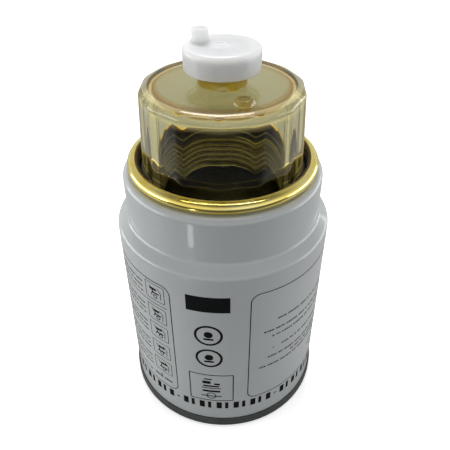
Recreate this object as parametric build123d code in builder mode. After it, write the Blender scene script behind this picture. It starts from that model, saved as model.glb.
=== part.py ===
"""A spin-on fuel filter and water separator with a clear collecting bowl.

It stands on the gasket of its mounting end, as it does on a bench: the bowl and its drain are on top.
The frame's origin is the centre of the gasket's face, and +Z runs up the filter's axis to the drain.
"""

import os
from math import atan2, cos, pi, radians, sin

from build123d import *

os.makedirs("parts", exist_ok=True)

# Driving sizes of the can, in mm
can_radius = 54.0
can_wall = 0.8
can_body_length = 111.6
shoulder_width = 5.5
shoulder_rise = 4.2
shoulder_bend = 3.0
neck_length = 23.65
lip_width = 6.25
lip_bend = 3.0
lip_return = 6.5
lip_return_bend = 1.0
sheet_gap = 0.05

# Driving sizes of the mounting end
gasket_proud = 1.3
gasket_height = 4.5
gasket_width = 6.0
gasket_play = 0.25
gasket_rounding = 0.9
lid_wall = 0.9
seam_bend = 0.8
seam_height = 5.9
lid_flange_width = 10.0
plate_thickness = 4.0
head_thread_radius = 11.8
boss_wall = 4.2
boss_length = 15.5
boss_root_bend = 1.5
thread_chamfer = 1.0
inlet_count = 8
inlet_radius = 3.6
inlet_margin = 4.25

# Driving sizes of the filter element
element_gap = 5.7
element_lift = 1.0
cap_sheet = 0.6
cap_rim = 5.5
grommet_wall = 3.0
grommet_length = 7.0
grommet_bead = 0.8
potting_depth = 2.0
tube_radius = 20.8
tube_wall = 0.8
tube_hole_radius = 2.6
tube_hole_columns = 12
tube_hole_pitch = 9.0
screen_thickness = 0.3
paper_thickness = 0.6
pleat_count = 56
pleat_tip = 1.8
pleat_root_share = 0.2
paper_margin = 1.4
cap_dome_radius = 27.0
cap_dome_rise = 1.4
clip_width = 5.0
spring_sheet = 0.7
spring_ring_width = 4.0
spring_leaf_count = 6
spring_leaf_width = 9.0
spring_leaf_climb = 1.9
spring_tip_inset = 1.2
spring_rim_inset = 0.5
spring_play = 0.1

# Driving sizes of the threaded collar
collar_wall = 2.2
collar_thread_length = 18.9
bead_radius = 2.95
thread_gap = 0.25
bowl_foot_drop = 1.7

# Driving sizes of the bowl
bowl_neck_length = 22.0
bowl_neck_wall = 2.8
bowl_neck_chamfer = 0.6
bowl_sides = 14
bowl_turn = -92.0
bowl_foot_gap = 1.0
bowl_taper = 1.6
bowl_height = 39.0
bowl_edge_rounding = 3.5
bowl_plate = 3.2
bowl_inside_taper = 1.3
bowl_inside_rounding = 3.0
seal_section = 1.3
seal_gap = 0.15
hex_boss_inset = 7.91
hex_boss_turn = 20.93
hex_boss_foot = 4.75
hex_boss_top = 3.75
hex_boss_rise = 2.1
hex_recess_radius = 1.9
hex_recess_depth = 1.1

# Driving sizes of the drain
drain_neck_radius = 11.0
drain_neck_length = 11.8
drain_neck_chamfer = 0.4
drain_bore_radius = 6.6
drain_seat_height = 2.5
drain_hole_radius = 3.5
neck_seal_section = 0.8
neck_seal_gap = 0.1
neck_seal_drop = 0.8
lug_start = 14.0
lug_end = 36.0
lug_reach = 1.3
lug_clearance = 0.2
cap_height = 10.1
cap_lift = 6.1
cap_roof = 2.2
cap_edge_rounding = 1.6
cap_foot_rounding = 0.5
cap_skirt_wall = 1.6
cap_sleeve_gap = 0.25
cap_sleeve_wall = 1.9
cap_core_width = 2.25
cap_core_roof = 1.2
cap_rib_count = 8
cap_rib_width = 1.4
spigot_gap = 0.2
spigot_slot_width = 3.0
spigot_slot_depth = 2.2
washer_thickness = 1.8
washer_play = 0.4
washer_gap = 0.1
stub_radius = 1.8
nipple_turn = 152.95
nipple_margin = 0.245
nipple_radius = 3.7
nipple_bore = 2.2
nipple_bore_lift = 0.5
nipple_length = 5.8
nipple_root = 0.9
nipple_rounding = 0.7
gate_radius = 3.7
gate_depth = 0.25
gate_nub = 0.9

# Levels up the axis, each stacked on what it rests on
seam_foot = gasket_proud
seam_top = seam_foot + seam_height
shoulder_level = seam_foot + lid_wall + sheet_gap + can_body_length + shoulder_rise
lip_level = shoulder_level + neck_length
groove_roof = gasket_height
lid_flange_top = seam_foot + lid_wall
plate_foot = lid_flange_top + sheet_gap
boss_top = plate_foot + boss_length
bead_level = lip_level + sheet_gap + bead_radius

# Radii across the mounting end, from the can's wall inwards
can_foot = seam_foot + lid_wall + sheet_gap
seam_outer = can_radius + sheet_gap + lid_wall
seam_leg_outer = can_radius - can_wall - sheet_gap
seam_leg_inner = seam_leg_outer - lid_wall
gasket_outer = seam_leg_inner - gasket_play
gasket_inner = gasket_outer - gasket_width
groove_leg_outer = gasket_inner - gasket_play
groove_leg_inner = groove_leg_outer - lid_wall
plate_radius = groove_leg_inner - sheet_gap
flange_inner = groove_leg_inner - lid_flange_width
boss_radius = head_thread_radius + boss_wall
inlet_ring_radius = flange_inner - inlet_margin - inlet_radius

# Radii across the collar and the bowl's mouth, from the can's neck inwards
neck_radius = can_radius - shoulder_width
bowl_seal_room = 2 * (seal_section + seal_gap)
collar_outer = neck_radius - lip_width - sheet_gap
land_radius = collar_outer - collar_wall
bowl_neck_radius = land_radius - bowl_seal_room
collar_bore = bowl_neck_radius + thread_gap
bead_ring_radius = land_radius + bead_radius
seal_ring_radius = bowl_neck_radius + seal_gap + seal_section
bowl_foot_radius = land_radius - bowl_foot_gap
bowl_top_radius = bowl_foot_radius - bowl_taper
bowl_foot = bead_level - bowl_foot_drop
collar_step = bowl_foot - bowl_seal_room
bowl_top = bowl_foot + bowl_height
neck_end = bowl_foot - bowl_neck_length
collar_end = collar_step - collar_wall - collar_thread_length


def ring(inner, outer, low, high):
    """Sketch the half section of a plain ring, for a revolve about the axis."""
    with BuildSketch(Plane.XZ) as half_section:
        with Locations(((inner + outer) / 2, (low + high) / 2)):
            Rectangle(outer - inner, high - low)
    return half_section.sketch


# The can: one deep-drawn steel shell, its mouth rolled inwards round the collar
with BuildPart() as can:
    with BuildSketch(Plane.XZ):
        with BuildLine():
            FilletPolyline(
                (can_radius, can_foot),
                (can_radius, can_foot + can_body_length),
                (neck_radius, shoulder_level),
                (neck_radius, lip_level),
                (collar_outer + sheet_gap, lip_level),
                (collar_outer + sheet_gap, lip_level - lip_return),
                radius=[shoulder_bend, shoulder_bend, lip_bend, lip_return_bend],
            )
            offset(amount=can_wall, side=Side.LEFT)
        make_face()
    revolve(axis=Axis.Z)
can.part.label = "can"

# The seaming lid: thin sheet folded round the can's foot, with the gasket's groove pressed into it
with BuildPart() as seaming_lid:
    with BuildSketch(Plane.XZ) as lid_section:
        with BuildLine():
            Polyline(
                (seam_outer, seam_top),
                (seam_outer, seam_foot),
                (seam_leg_inner, seam_foot),
                (seam_leg_inner, groove_roof),
                (groove_leg_outer, groove_roof),
                (groove_leg_outer, seam_foot),
                (flange_inner, seam_foot),
                (flange_inner, lid_flange_top),
                (groove_leg_inner, lid_flange_top),
                (groove_leg_inner, groove_roof + lid_wall),
                (seam_leg_outer, groove_roof + lid_wall),
                (seam_leg_outer, can_foot - sheet_gap),
                (seam_outer - lid_wall, can_foot - sheet_gap),
                (seam_outer - lid_wall, seam_top),
                close=True,
            )
        make_face()
        outer_bends = lid_section.vertices().filter_by(lambda v: abs(v.Y - seam_foot) < 0.001)
        seam_bends = outer_bends.filter_by(lambda v: v.X > groove_leg_inner)
        fillet(seam_bends, seam_bend)
    revolve(axis=Axis.Z)
seaming_lid.part.label = "seaming_lid"

# The head gasket: a flat-sided rubber ring that stands proud of the seam
with BuildPart() as head_gasket:
    add(ring(gasket_inner, gasket_outer, 0, gasket_height - sheet_gap))
    revolve(axis=Axis.Z)
    fillet(head_gasket.edges().group_by(Axis.Z)[0], gasket_rounding)
head_gasket.part.label = "head_gasket"

# The tapping plate: thick steel with a drawn, threaded boss and a ring of inlet holes
with BuildPart() as tapping_plate:
    with BuildSketch(Plane.XY.offset(plate_foot)):
        Circle(plate_radius)
    extrude(amount=plate_thickness)
    with BuildSketch(Plane.XY.offset(plate_foot)):
        Circle(boss_radius)
    extrude(amount=boss_length)
    boss_root = tapping_plate.edges().filter_by(GeomType.CIRCLE)
    boss_root = boss_root.filter_by(lambda e: abs(e.radius - boss_radius) < 0.01).group_by(Axis.Z)[0]
    fillet(boss_root, boss_root_bend)
    with BuildSketch(Plane.XY.offset(plate_foot)):
        Circle(head_thread_radius)
        with PolarLocations(inlet_ring_radius, inlet_count):
            Circle(inlet_radius)
    extrude(amount=boss_length, mode=Mode.SUBTRACT)
    thread_mouth = tapping_plate.edges().filter_by(GeomType.CIRCLE)
    thread_mouth = thread_mouth.filter_by(lambda e: abs(e.radius - head_thread_radius) < 0.01)
    chamfer(thread_mouth, thread_chamfer)
tapping_plate.part.label = "tapping_plate"

# Radius and levels of the element, which hangs between the boss's grommet and the spring
element_radius = can_radius - can_wall - element_gap
element_foot = boss_top + element_lift
head_cap_top = element_foot + cap_sheet
paper_foot = head_cap_top + potting_depth
shoulder_foot = can_foot + can_body_length
shoulder_slope = atan2(shoulder_rise, shoulder_width)
leaf_tip_radius = can_radius - can_wall - spring_tip_inset
shoulder_over_tip = shoulder_foot + (can_radius - leaf_tip_radius) * shoulder_rise / shoulder_width
leaf_tip_level = shoulder_over_tip - can_wall / cos(shoulder_slope) - spring_play - spring_sheet
spring_seat = leaf_tip_level - spring_leaf_climb
bowl_cap_foot = spring_seat - cap_sheet
paper_top = bowl_cap_foot - potting_depth
cap_opening = boss_radius + grommet_wall
grommet_outer = cap_opening - sheet_gap

# The grommet: a rubber sleeve that seals the clean outlet on the plate's boss
with BuildPart() as centre_seal:
    with BuildSketch(Plane.XZ):
        with BuildLine():
            Polyline(
                (boss_radius + sheet_gap, element_foot - grommet_length),
                (grommet_outer, element_foot - grommet_length),
                (grommet_outer, element_foot - grommet_bead),
                (boss_radius + sheet_gap, element_foot - grommet_bead),
                close=True,
            )
        make_face()
    revolve(axis=Axis.Z)
    chamfer(centre_seal.edges().group_by(Axis.Z)[0], grommet_bead)
centre_seal.part.label = "centre_seal"

# The end cap at the mounting end: a pressed dish with a collar round the grommet
with BuildPart() as head_end_cap:
    add(ring(cap_opening, element_radius, element_foot, head_cap_top))
    revolve(axis=Axis.Z)
    add(ring(element_radius - cap_sheet, element_radius, element_foot, element_foot + cap_rim))
    revolve(axis=Axis.Z)
    add(ring(cap_opening, cap_opening + cap_sheet, element_foot - grommet_length, head_cap_top))
    revolve(axis=Axis.Z)
head_end_cap.part.label = "head_end_cap"

# The end cap at the bowl end: closed, with a raised centre
with BuildPart() as bowl_end_cap:
    add(ring(0, element_radius, bowl_cap_foot, spring_seat))
    revolve(axis=Axis.Z)
    add(ring(element_radius - cap_sheet, element_radius, spring_seat - cap_rim, spring_seat))
    revolve(axis=Axis.Z)
    with BuildSketch(Plane.XY.offset(bowl_cap_foot)):
        Circle(cap_dome_radius)
    extrude(amount=cap_dome_rise + cap_sheet, taper=30)
    with BuildSketch(Plane.XY.offset(bowl_cap_foot)):
        Circle(cap_dome_radius - cap_sheet)
    extrude(amount=cap_dome_rise, taper=30, mode=Mode.SUBTRACT)
bowl_end_cap.part.label = "bowl_end_cap"

# The potting: a bed of cured plastisol in each end cap, which holds the pleats
potting_inner = tube_radius - tube_wall
potting_outer = element_radius - cap_sheet - sheet_gap
with BuildPart() as head_potting:
    add(ring(potting_inner, potting_outer, head_cap_top, paper_foot))
    revolve(axis=Axis.Z)
head_potting.part.label = "head_potting"

with BuildPart() as bowl_potting:
    add(ring(potting_inner, potting_outer, paper_top, bowl_cap_foot))
    revolve(axis=Axis.Z)
bowl_potting.part.label = "bowl_potting"

# The centre tube: perforated sheet, rolled and seamed
with BuildPart() as centre_tube:
    add(ring(tube_radius - tube_wall, tube_radius, paper_foot, paper_top))
    revolve(axis=Axis.Z)
    tube_hole_rows = int((paper_top - paper_foot - 2 * tube_hole_pitch) / tube_hole_pitch)
    tube_middle = (paper_foot + paper_top) / 2
    for column in range(tube_hole_columns // 2):
        hole_plane = Plane.XZ.rotated((0, 0, column * 360 / tube_hole_columns))
        with BuildSketch(hole_plane):
            with Locations((0, tube_middle)):
                with GridLocations(1, tube_hole_pitch, 1, tube_hole_rows):
                    Circle(tube_hole_radius)
        extrude(amount=tube_radius + 1, both=True, mode=Mode.SUBTRACT)
centre_tube.part.label = "centre_tube"

# The separating screen: a fine sleeve over the centre tube, which holds drops back
screen_inner = tube_radius + sheet_gap
screen_outer = screen_inner + screen_thickness
with BuildPart() as separator_screen:
    add(ring(screen_inner, screen_outer, paper_foot, paper_top))
    revolve(axis=Axis.Z)
separator_screen.part.label = "separator_screen"

# The filter paper: one folded sheet, whose pleats run round the tube
paper_outer = element_radius - cap_sheet - paper_margin
paper_inner = screen_outer + sheet_gap


def pleat_outline(outer, inner, outer_half_width, inner_half_width):
    """Give the corners of a star-shaped ring of pleats, four for each pleat."""
    corners = []
    step = 2 * pi / pleat_count
    for pleat in range(pleat_count):
        tip = pleat * step
        root = tip + step / 2
        tip_turn = outer_half_width / outer
        root_turn = inner_half_width / inner
        for turn, radius in (
            (tip - tip_turn, outer),
            (tip + tip_turn, outer),
            (root - root_turn, inner),
            (root + root_turn, inner),
        ):
            corners.append((radius * cos(turn), radius * sin(turn)))
    return corners


pleat_root_room = paper_inner * pi / pleat_count
with BuildPart() as filter_paper:
    with BuildSketch(Plane.XY.offset(paper_foot)):
        with BuildLine():
            Polyline(
                *pleat_outline(
                    paper_outer,
                    paper_inner + paper_thickness,
                    pleat_tip / 2,
                    pleat_root_room * pleat_root_share,
                ),
                close=True,
            )
        make_face()
        with BuildLine():
            Polyline(
                *pleat_outline(
                    paper_outer - paper_thickness,
                    paper_inner,
                    pleat_tip / 2 - paper_thickness,
                    pleat_root_room * (1 - pleat_root_share),
                ),
                close=True,
            )
        make_face(mode=Mode.SUBTRACT)
    extrude(amount=paper_top - paper_foot)
filter_paper.part.label = "filter_paper"

# The pleat clip: a narrow metal channel that joins the sheet's two ends
clip_reach = paper_outer + sheet_gap
with BuildPart() as pleat_clip:
    with BuildSketch(Plane.XY.offset(paper_foot)):
        with Locations((clip_reach + cap_sheet / 2, 0)):
            Rectangle(cap_sheet, clip_width)
    extrude(amount=paper_top - paper_foot)
pleat_clip.part.label = "pleat_clip"

# The element spring: a stamped ring whose leaves bear on the can's shoulder
spring_outer = element_radius - spring_rim_inset
spring_inner = spring_outer - spring_ring_width
with BuildPart() as element_spring:
    add(ring(spring_inner, spring_outer, spring_seat, spring_seat + spring_sheet))
    revolve(axis=Axis.Z)
    for leaf in range(spring_leaf_count):
        with BuildSketch(Plane.XZ.rotated((0, 0, (leaf + 0.5) * 360 / spring_leaf_count))):
            with BuildLine():
                Polyline(
                    (spring_inner + spring_ring_width / 2, spring_seat),
                    (spring_outer, spring_seat),
                    (leaf_tip_radius, leaf_tip_level),
                    (leaf_tip_radius, leaf_tip_level + spring_sheet),
                    (spring_outer, spring_seat + spring_sheet),
                    (spring_inner + spring_ring_width / 2, spring_seat + spring_sheet),
                    close=True,
                )
            make_face()
        extrude(amount=spring_leaf_width / 2, both=True)
element_spring.part.label = "element_spring"

# The threaded collar: stamped, threaded inside, with its top edge curled over the can's lip
with BuildPart() as threaded_collar:
    add(ring(land_radius, collar_outer, collar_step - collar_wall, bead_level))
    revolve(axis=Axis.Z)
    add(ring(collar_bore, collar_outer, collar_step - collar_wall, collar_step))
    revolve(axis=Axis.Z)
    add(ring(collar_bore, collar_bore + collar_wall, collar_end, collar_step))
    revolve(axis=Axis.Z)
    with BuildSketch(Plane.XZ):
        with Locations((bead_ring_radius, bead_level)):
            Circle(bead_radius)
    revolve(axis=Axis.Z)
threaded_collar.part.label = "threaded_collar"

# The bowl gasket: an O-ring in the corner under the bowl's foot
with BuildPart() as bowl_gasket:
    with BuildSketch(Plane.XZ):
        with Locations((seal_ring_radius, bowl_foot - seal_gap - seal_section)):
            Circle(seal_section)
    revolve(axis=Axis.Z)
bowl_gasket.part.label = "bowl_gasket"

# Levels and radii of the drain, stacked on the bowl's top
neck_top = bowl_top + drain_neck_length
drain_seat = bowl_top + drain_seat_height
cap_foot = bowl_top + cap_lift
cap_top = cap_foot + cap_height
cap_ceiling = cap_top - cap_roof
sleeve_bore = drain_neck_radius + cap_sleeve_gap
neck_seal_ring = sleeve_bore - neck_seal_gap - neck_seal_section
neck_seal_level = neck_top - neck_seal_drop - neck_seal_section
seal_groove_floor = neck_seal_ring - neck_seal_section - sheet_gap
seal_groove_half = neck_seal_section + sheet_gap

# The bowl: one clear moulding with flat sides, a threaded neck, the drain's neck and a small hex boss
inside_top_radius = bowl_neck_radius - bowl_neck_wall - bowl_inside_taper
inside_top = bowl_top - bowl_plate
hex_boss_reach = bowl_top_radius * cos(pi / bowl_sides) - bowl_edge_rounding - hex_boss_inset
hex_boss_x = hex_boss_reach * sin(radians(hex_boss_turn))
hex_boss_y = -hex_boss_reach * cos(radians(hex_boss_turn))
with BuildPart() as bowl:
    with BuildSketch(Plane.XY.offset(bowl_foot)):
        RegularPolygon(bowl_foot_radius, bowl_sides, rotation=bowl_turn)
    with BuildSketch(Plane.XY.offset(bowl_top)):
        RegularPolygon(bowl_top_radius, bowl_sides, rotation=bowl_turn)
    loft()
    fillet(bowl.edges().group_by(Axis.Z)[-1], bowl_edge_rounding)
    with BuildSketch(Plane.XY.offset(neck_end)):
        Circle(bowl_neck_radius)
    extrude(amount=bowl_neck_length)
    chamfer(bowl.edges().group_by(Axis.Z)[0], bowl_neck_chamfer)
    with BuildSketch(Plane.XY.offset(bowl_top)):
        Circle(drain_neck_radius)
    extrude(amount=drain_neck_length)
    chamfer(bowl.edges().group_by(Axis.Z)[-1], drain_neck_chamfer)
    with BuildSketch(Plane.XZ) as inside_section:
        with BuildLine():
            Polyline(
                (0, neck_end),
                (bowl_neck_radius - bowl_neck_wall, neck_end),
                (bowl_neck_radius - bowl_neck_wall, bowl_foot),
                (inside_top_radius, inside_top),
                (0, inside_top),
                close=True,
            )
        make_face()
        inside_corner = inside_section.vertices().filter_by(lambda v: v.X > 1).sort_by(Axis.Y)[-1]
        fillet(inside_corner, bowl_inside_rounding)
    revolve(axis=Axis.Z, mode=Mode.SUBTRACT)
    with BuildSketch(Plane.XY.offset(inside_top)):
        Circle(drain_hole_radius)
    extrude(amount=bowl_plate + drain_neck_length, mode=Mode.SUBTRACT)
    with BuildSketch(Plane.XY.offset(drain_seat)):
        Circle(drain_bore_radius)
    extrude(amount=drain_neck_length, mode=Mode.SUBTRACT)
    add(
        ring(
            seal_groove_floor,
            drain_neck_radius + 1,
            neck_seal_level - seal_groove_half,
            neck_seal_level + seal_groove_half,
        )
    )
    revolve(axis=Axis.Z, mode=Mode.SUBTRACT)
    with BuildSketch(Plane.XY.offset(bowl_top)):
        with Locations((hex_boss_x, hex_boss_y)):
            RegularPolygon(hex_boss_foot, 6)
    with BuildSketch(Plane.XY.offset(bowl_top + hex_boss_rise)):
        with Locations((hex_boss_x, hex_boss_y)):
            RegularPolygon(hex_boss_top, 6)
    loft()
    with BuildSketch(Plane.XY.offset(bowl_top + hex_boss_rise)):
        with Locations((hex_boss_x, hex_boss_y)):
            Circle(hex_recess_radius)
    extrude(amount=-hex_recess_depth, mode=Mode.SUBTRACT)
    with BuildSketch(Plane.XY.offset(bowl_top)):
        lug_middle = -90 + (lug_start + lug_end) / 2
        with PolarLocations(drain_neck_radius, 1, start_angle=lug_middle):
            Rectangle(2 * lug_reach, 2 * drain_neck_radius * sin(radians((lug_end - lug_start) / 2)))
    extrude(amount=cap_lift - lug_clearance)
bowl.part.label = "bowl"

# The neck seal: an O-ring round the drain's neck, which keeps the cap's chamber tight
with BuildPart() as neck_seal:
    with BuildSketch(Plane.XZ):
        with Locations((neck_seal_ring, neck_seal_level)):
            Circle(neck_seal_section)
    revolve(axis=Axis.Z)
neck_seal.part.label = "neck_seal"

# The drain washer: a rubber disc on the spigot's end, which shuts the drain hole
spigot_radius = drain_bore_radius - spigot_gap
washer_foot = drain_seat + washer_gap
spigot_end = washer_foot + washer_thickness + washer_gap
with BuildPart() as drain_seal:
    add(ring(stub_radius + washer_gap, drain_bore_radius - washer_play, washer_foot, spigot_end - washer_gap))
    revolve(axis=Axis.Z)
drain_seal.part.label = "drain_seal"

# The drain cap: one moulding with a grip skirt, a sealing sleeve, a slotted spigot and a hose nipple
core_inner = sleeve_bore + cap_sleeve_wall
core_outer = core_inner + cap_core_width
cap_radius = core_outer + cap_skirt_wall
nipple_reach = cap_radius - cap_edge_rounding - nipple_root - nipple_radius - nipple_margin
nipple_x = nipple_reach * cos(radians(nipple_turn))
nipple_y = nipple_reach * sin(radians(nipple_turn))
with BuildPart() as drain_cap:
    with BuildSketch(Plane.XY.offset(cap_foot)):
        Circle(cap_radius)
    extrude(amount=cap_height)
    fillet(drain_cap.edges().group_by(Axis.Z)[-1], cap_edge_rounding)
    fillet(drain_cap.edges().group_by(Axis.Z)[0], cap_foot_rounding)
    with BuildSketch(Plane.XY.offset(cap_top - cap_roof / 2)):
        with Locations((nipple_x, nipple_y)):
            Circle(nipple_radius)
    extrude(amount=cap_roof / 2 + nipple_length)
    nipple_rings = drain_cap.edges().filter_by(GeomType.CIRCLE)
    nipple_rings = nipple_rings.filter_by(lambda e: abs(e.radius - nipple_radius) < 0.01)
    fillet(nipple_rings.group_by(Axis.Z)[-1], nipple_rounding)
    nipple_rings = drain_cap.edges().filter_by(GeomType.CIRCLE)
    nipple_rings = nipple_rings.filter_by(lambda e: abs(e.radius - nipple_radius) < 0.01)
    fillet(nipple_rings.group_by(Axis.Z)[0], nipple_root)
    with BuildSketch(Plane.XY.offset(cap_foot)):
        Circle(sleeve_bore)
    extrude(amount=cap_ceiling - cap_foot, mode=Mode.SUBTRACT)
    with BuildSketch(Plane.XY.offset(cap_foot)):
        Circle(core_outer)
        Circle(core_inner, mode=Mode.SUBTRACT)
        with PolarLocations((core_inner + core_outer) / 2, cap_rib_count):
            Rectangle(2 * (core_outer - core_inner), cap_rib_width, mode=Mode.SUBTRACT)
    extrude(amount=cap_ceiling - cap_core_roof - cap_foot, mode=Mode.SUBTRACT)
    with BuildSketch(Plane.XY.offset(spigot_end)):
        Circle(spigot_radius)
        with PolarLocations(spigot_radius, 2, start_angle=90):
            Rectangle(2 * spigot_slot_depth, spigot_slot_width, mode=Mode.SUBTRACT)
    extrude(amount=cap_ceiling - spigot_end)
    with BuildSketch(Plane.XY.offset(washer_foot)):
        Circle(stub_radius)
    extrude(amount=spigot_end - washer_foot)
    with BuildSketch(Plane.XY.offset(neck_top + nipple_bore_lift)):
        with Locations((nipple_x, nipple_y)):
            Circle(nipple_bore)
    extrude(amount=cap_top + nipple_length - neck_top, mode=Mode.SUBTRACT)
    with BuildSketch(Plane.XY.offset(cap_top)):
        Circle(gate_radius)
        Circle(gate_nub, mode=Mode.SUBTRACT)
    extrude(amount=-gate_depth, mode=Mode.SUBTRACT)
drain_cap.part.label = "drain_cap"

export_step(can.part, "parts/can.step")
export_step(seaming_lid.part, "parts/seaming_lid.step")
export_step(head_gasket.part, "parts/head_gasket.step")
export_step(tapping_plate.part, "parts/tapping_plate.step")
export_step(centre_seal.part, "parts/centre_seal.step")
export_step(head_end_cap.part, "parts/head_end_cap.step")
export_step(head_potting.part, "parts/head_potting.step")
export_step(filter_paper.part, "parts/filter_paper.step")
export_step(pleat_clip.part, "parts/pleat_clip.step")
export_step(centre_tube.part, "parts/centre_tube.step")
export_step(separator_screen.part, "parts/separator_screen.step")
export_step(bowl_potting.part, "parts/bowl_potting.step")
export_step(bowl_end_cap.part, "parts/bowl_end_cap.step")
export_step(element_spring.part, "parts/element_spring.step")
export_step(threaded_collar.part, "parts/threaded_collar.step")
export_step(bowl_gasket.part, "parts/bowl_gasket.step")
export_step(bowl.part, "parts/bowl.step")
export_step(neck_seal.part, "parts/neck_seal.step")
export_step(drain_seal.part, "parts/drain_seal.step")
export_step(drain_cap.part, "parts/drain_cap.step")
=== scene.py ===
"""A spin-on fuel filter and water separator, standing on its mounting end on a pale table."""

from math import cos, pi, radians, sin, tan

import bmesh
import bpy
import numpy as np
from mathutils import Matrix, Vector


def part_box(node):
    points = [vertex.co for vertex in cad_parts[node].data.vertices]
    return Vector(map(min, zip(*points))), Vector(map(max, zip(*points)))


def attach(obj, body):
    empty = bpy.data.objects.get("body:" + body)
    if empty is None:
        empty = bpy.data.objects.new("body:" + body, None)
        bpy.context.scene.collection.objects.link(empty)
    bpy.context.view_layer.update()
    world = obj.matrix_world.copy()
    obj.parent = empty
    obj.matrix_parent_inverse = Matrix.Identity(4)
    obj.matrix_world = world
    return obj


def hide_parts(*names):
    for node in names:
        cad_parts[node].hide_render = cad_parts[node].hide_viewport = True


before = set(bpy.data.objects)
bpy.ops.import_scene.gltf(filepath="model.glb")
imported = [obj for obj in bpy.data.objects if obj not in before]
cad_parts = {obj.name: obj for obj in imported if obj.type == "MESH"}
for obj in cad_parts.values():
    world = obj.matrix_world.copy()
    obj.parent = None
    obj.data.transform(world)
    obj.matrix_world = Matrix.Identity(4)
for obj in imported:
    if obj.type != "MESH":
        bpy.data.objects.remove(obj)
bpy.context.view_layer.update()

# The camera looks down on the filter from the front, as a person at the bench would.
# Its place and lens come from the outlines of the can and the bowl, and it leans by a hair.
scene = bpy.context.scene
image_side = 450
focal_pixels = 498.5
camera_place = (0.00094, -0.21211, 0.26432)
look_down, lean = 37.24, -0.197
camera_data = bpy.data.cameras.new("bench_camera")
camera_data.lens = focal_pixels / image_side * camera_data.sensor_width
camera_data.clip_start = 0.01
camera = bpy.data.objects.new("bench_camera", camera_data)
camera.location = camera_place
camera.rotation_mode = "ZYX"
camera.rotation_euler = (radians(90 - look_down), 0, radians(lean))
scene.collection.objects.link(camera)
scene.camera = camera
scene.view_settings.view_transform = "Standard"

# The table is a wide sheet of card, blown out to plain white as in a catalogue picture. For what the
# filter mirrors and lets through, it is grey behind, in shade in front, and pale again further off.


def node_maker(tree, shader):
    """Give a function that adds a node to a tree, sets its fields and links its inputs.

    Each input gets a value or another node's output. The function returns the node's output, and
    links that to the shader's input named in to.
    """

    def add(kind, inputs=(), to=None, **fields):
        node = tree.nodes.new(kind)
        for key, value in fields.items():
            setattr(node, key, value)
        for key, value in dict(inputs).items():
            if isinstance(value, bpy.types.NodeSocket):
                tree.links.new(value, node.inputs[key])
            else:
                node.inputs[key].default_value = value
        output = next(socket for socket in node.outputs if socket.enabled)
        if to:
            tree.links.new(output, shader.inputs[to])
        return output

    return add


def start_material(name, **settings):
    """Start a node material and set its shader's own sockets. Returns it and its node maker."""
    material = bpy.data.materials.new(name)
    material.use_nodes = True
    shader = next(node for node in material.node_tree.nodes if node.type == "BSDF_PRINCIPLED")
    for key, value in settings.items():
        shader.inputs[key.replace("_", " ")].default_value = value
    return material, node_maker(material.node_tree, shader)


def object_place(add, scale=(1, 1, 1)):
    """Give the piece's own coordinates, stretched along each axis."""
    place = add("ShaderNodeTexCoord").node.outputs["Object"]
    return add("ShaderNodeMapping", {"Vector": place, "Scale": scale})


def noise(add, place, scale, detail=3.0):
    """Give a grey cloud pattern whose features are about one over the scale in size, in metres."""
    return add("ShaderNodeTexNoise", {"Vector": place, "Scale": scale, "Detail": detail})


def tint(add, source, stops, to="Base Color"):
    """Run a grey pattern through a row of (place, colour) stops."""
    output = add("ShaderNodeValToRGB", {"Fac": source}, to)
    elements = output.node.color_ramp.elements
    while len(elements) < len(stops):
        elements.new(0.5)
    for element, (place, colour) in zip(elements, stops):
        element.position = place
        element.color = (*colour, 1)
    return output


def between(add, part, first, second, to=None, way="MIX"):
    """Go from a first colour to a second one as the part goes from 0 to 1."""
    inputs = {"Factor": part, "A": first, "B": second}
    return add("ShaderNodeMix", inputs, to, data_type="RGBA", blend_type=way)


def greys(*stops):
    """Turn (place, grey) stops into colour stops."""
    return [(place, (grey, grey, grey)) for place, grey in stops]


table_half = 2.5
card, add = start_material("white_card", Roughness=0.9, Emission_Strength=1.0)
place = object_place(add)
depth = add("ShaderNodeSeparateXYZ", {"Vector": place}).node.outputs["Y"]
depth = add("ShaderNodeMapRange", {"Value": depth, "From Min": -1.5, "From Max": 0.5})
fibre = noise(add, place, 180.0)
fibre = add("ShaderNodeMapRange", {"Value": fibre, "To Min": -0.02, "To Max": 0.02})
depth = add("ShaderNodeMath", {0: depth, 1: fibre}, operation="ADD")
shaded = tint(add, depth, greys((0.33, 0.8), (0.41, 0.08), (0.65, 0.08), (0.71, 0.48)), None)
seen = add("ShaderNodeLightPath").node.outputs["Is Camera Ray"]
between(add, seen, shaded, (0.95, 0.955, 0.945, 1), "Base Color")
between(add, seen, (0, 0, 0, 1), (0.55, 0.55, 0.55, 1), "Emission Color")
card_mesh = bpy.data.meshes.new("table")
card_corners = [(x * table_half, y * table_half, 0) for x, y in ((-1, -1), (1, -1), (1, 1), (-1, 1))]
card_mesh.from_pydata(card_corners, [], [(0, 1, 2, 3)])
card_mesh.materials.append(card)
table = bpy.data.objects.new("table", card_mesh)
scene.collection.objects.link(table)

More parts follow.
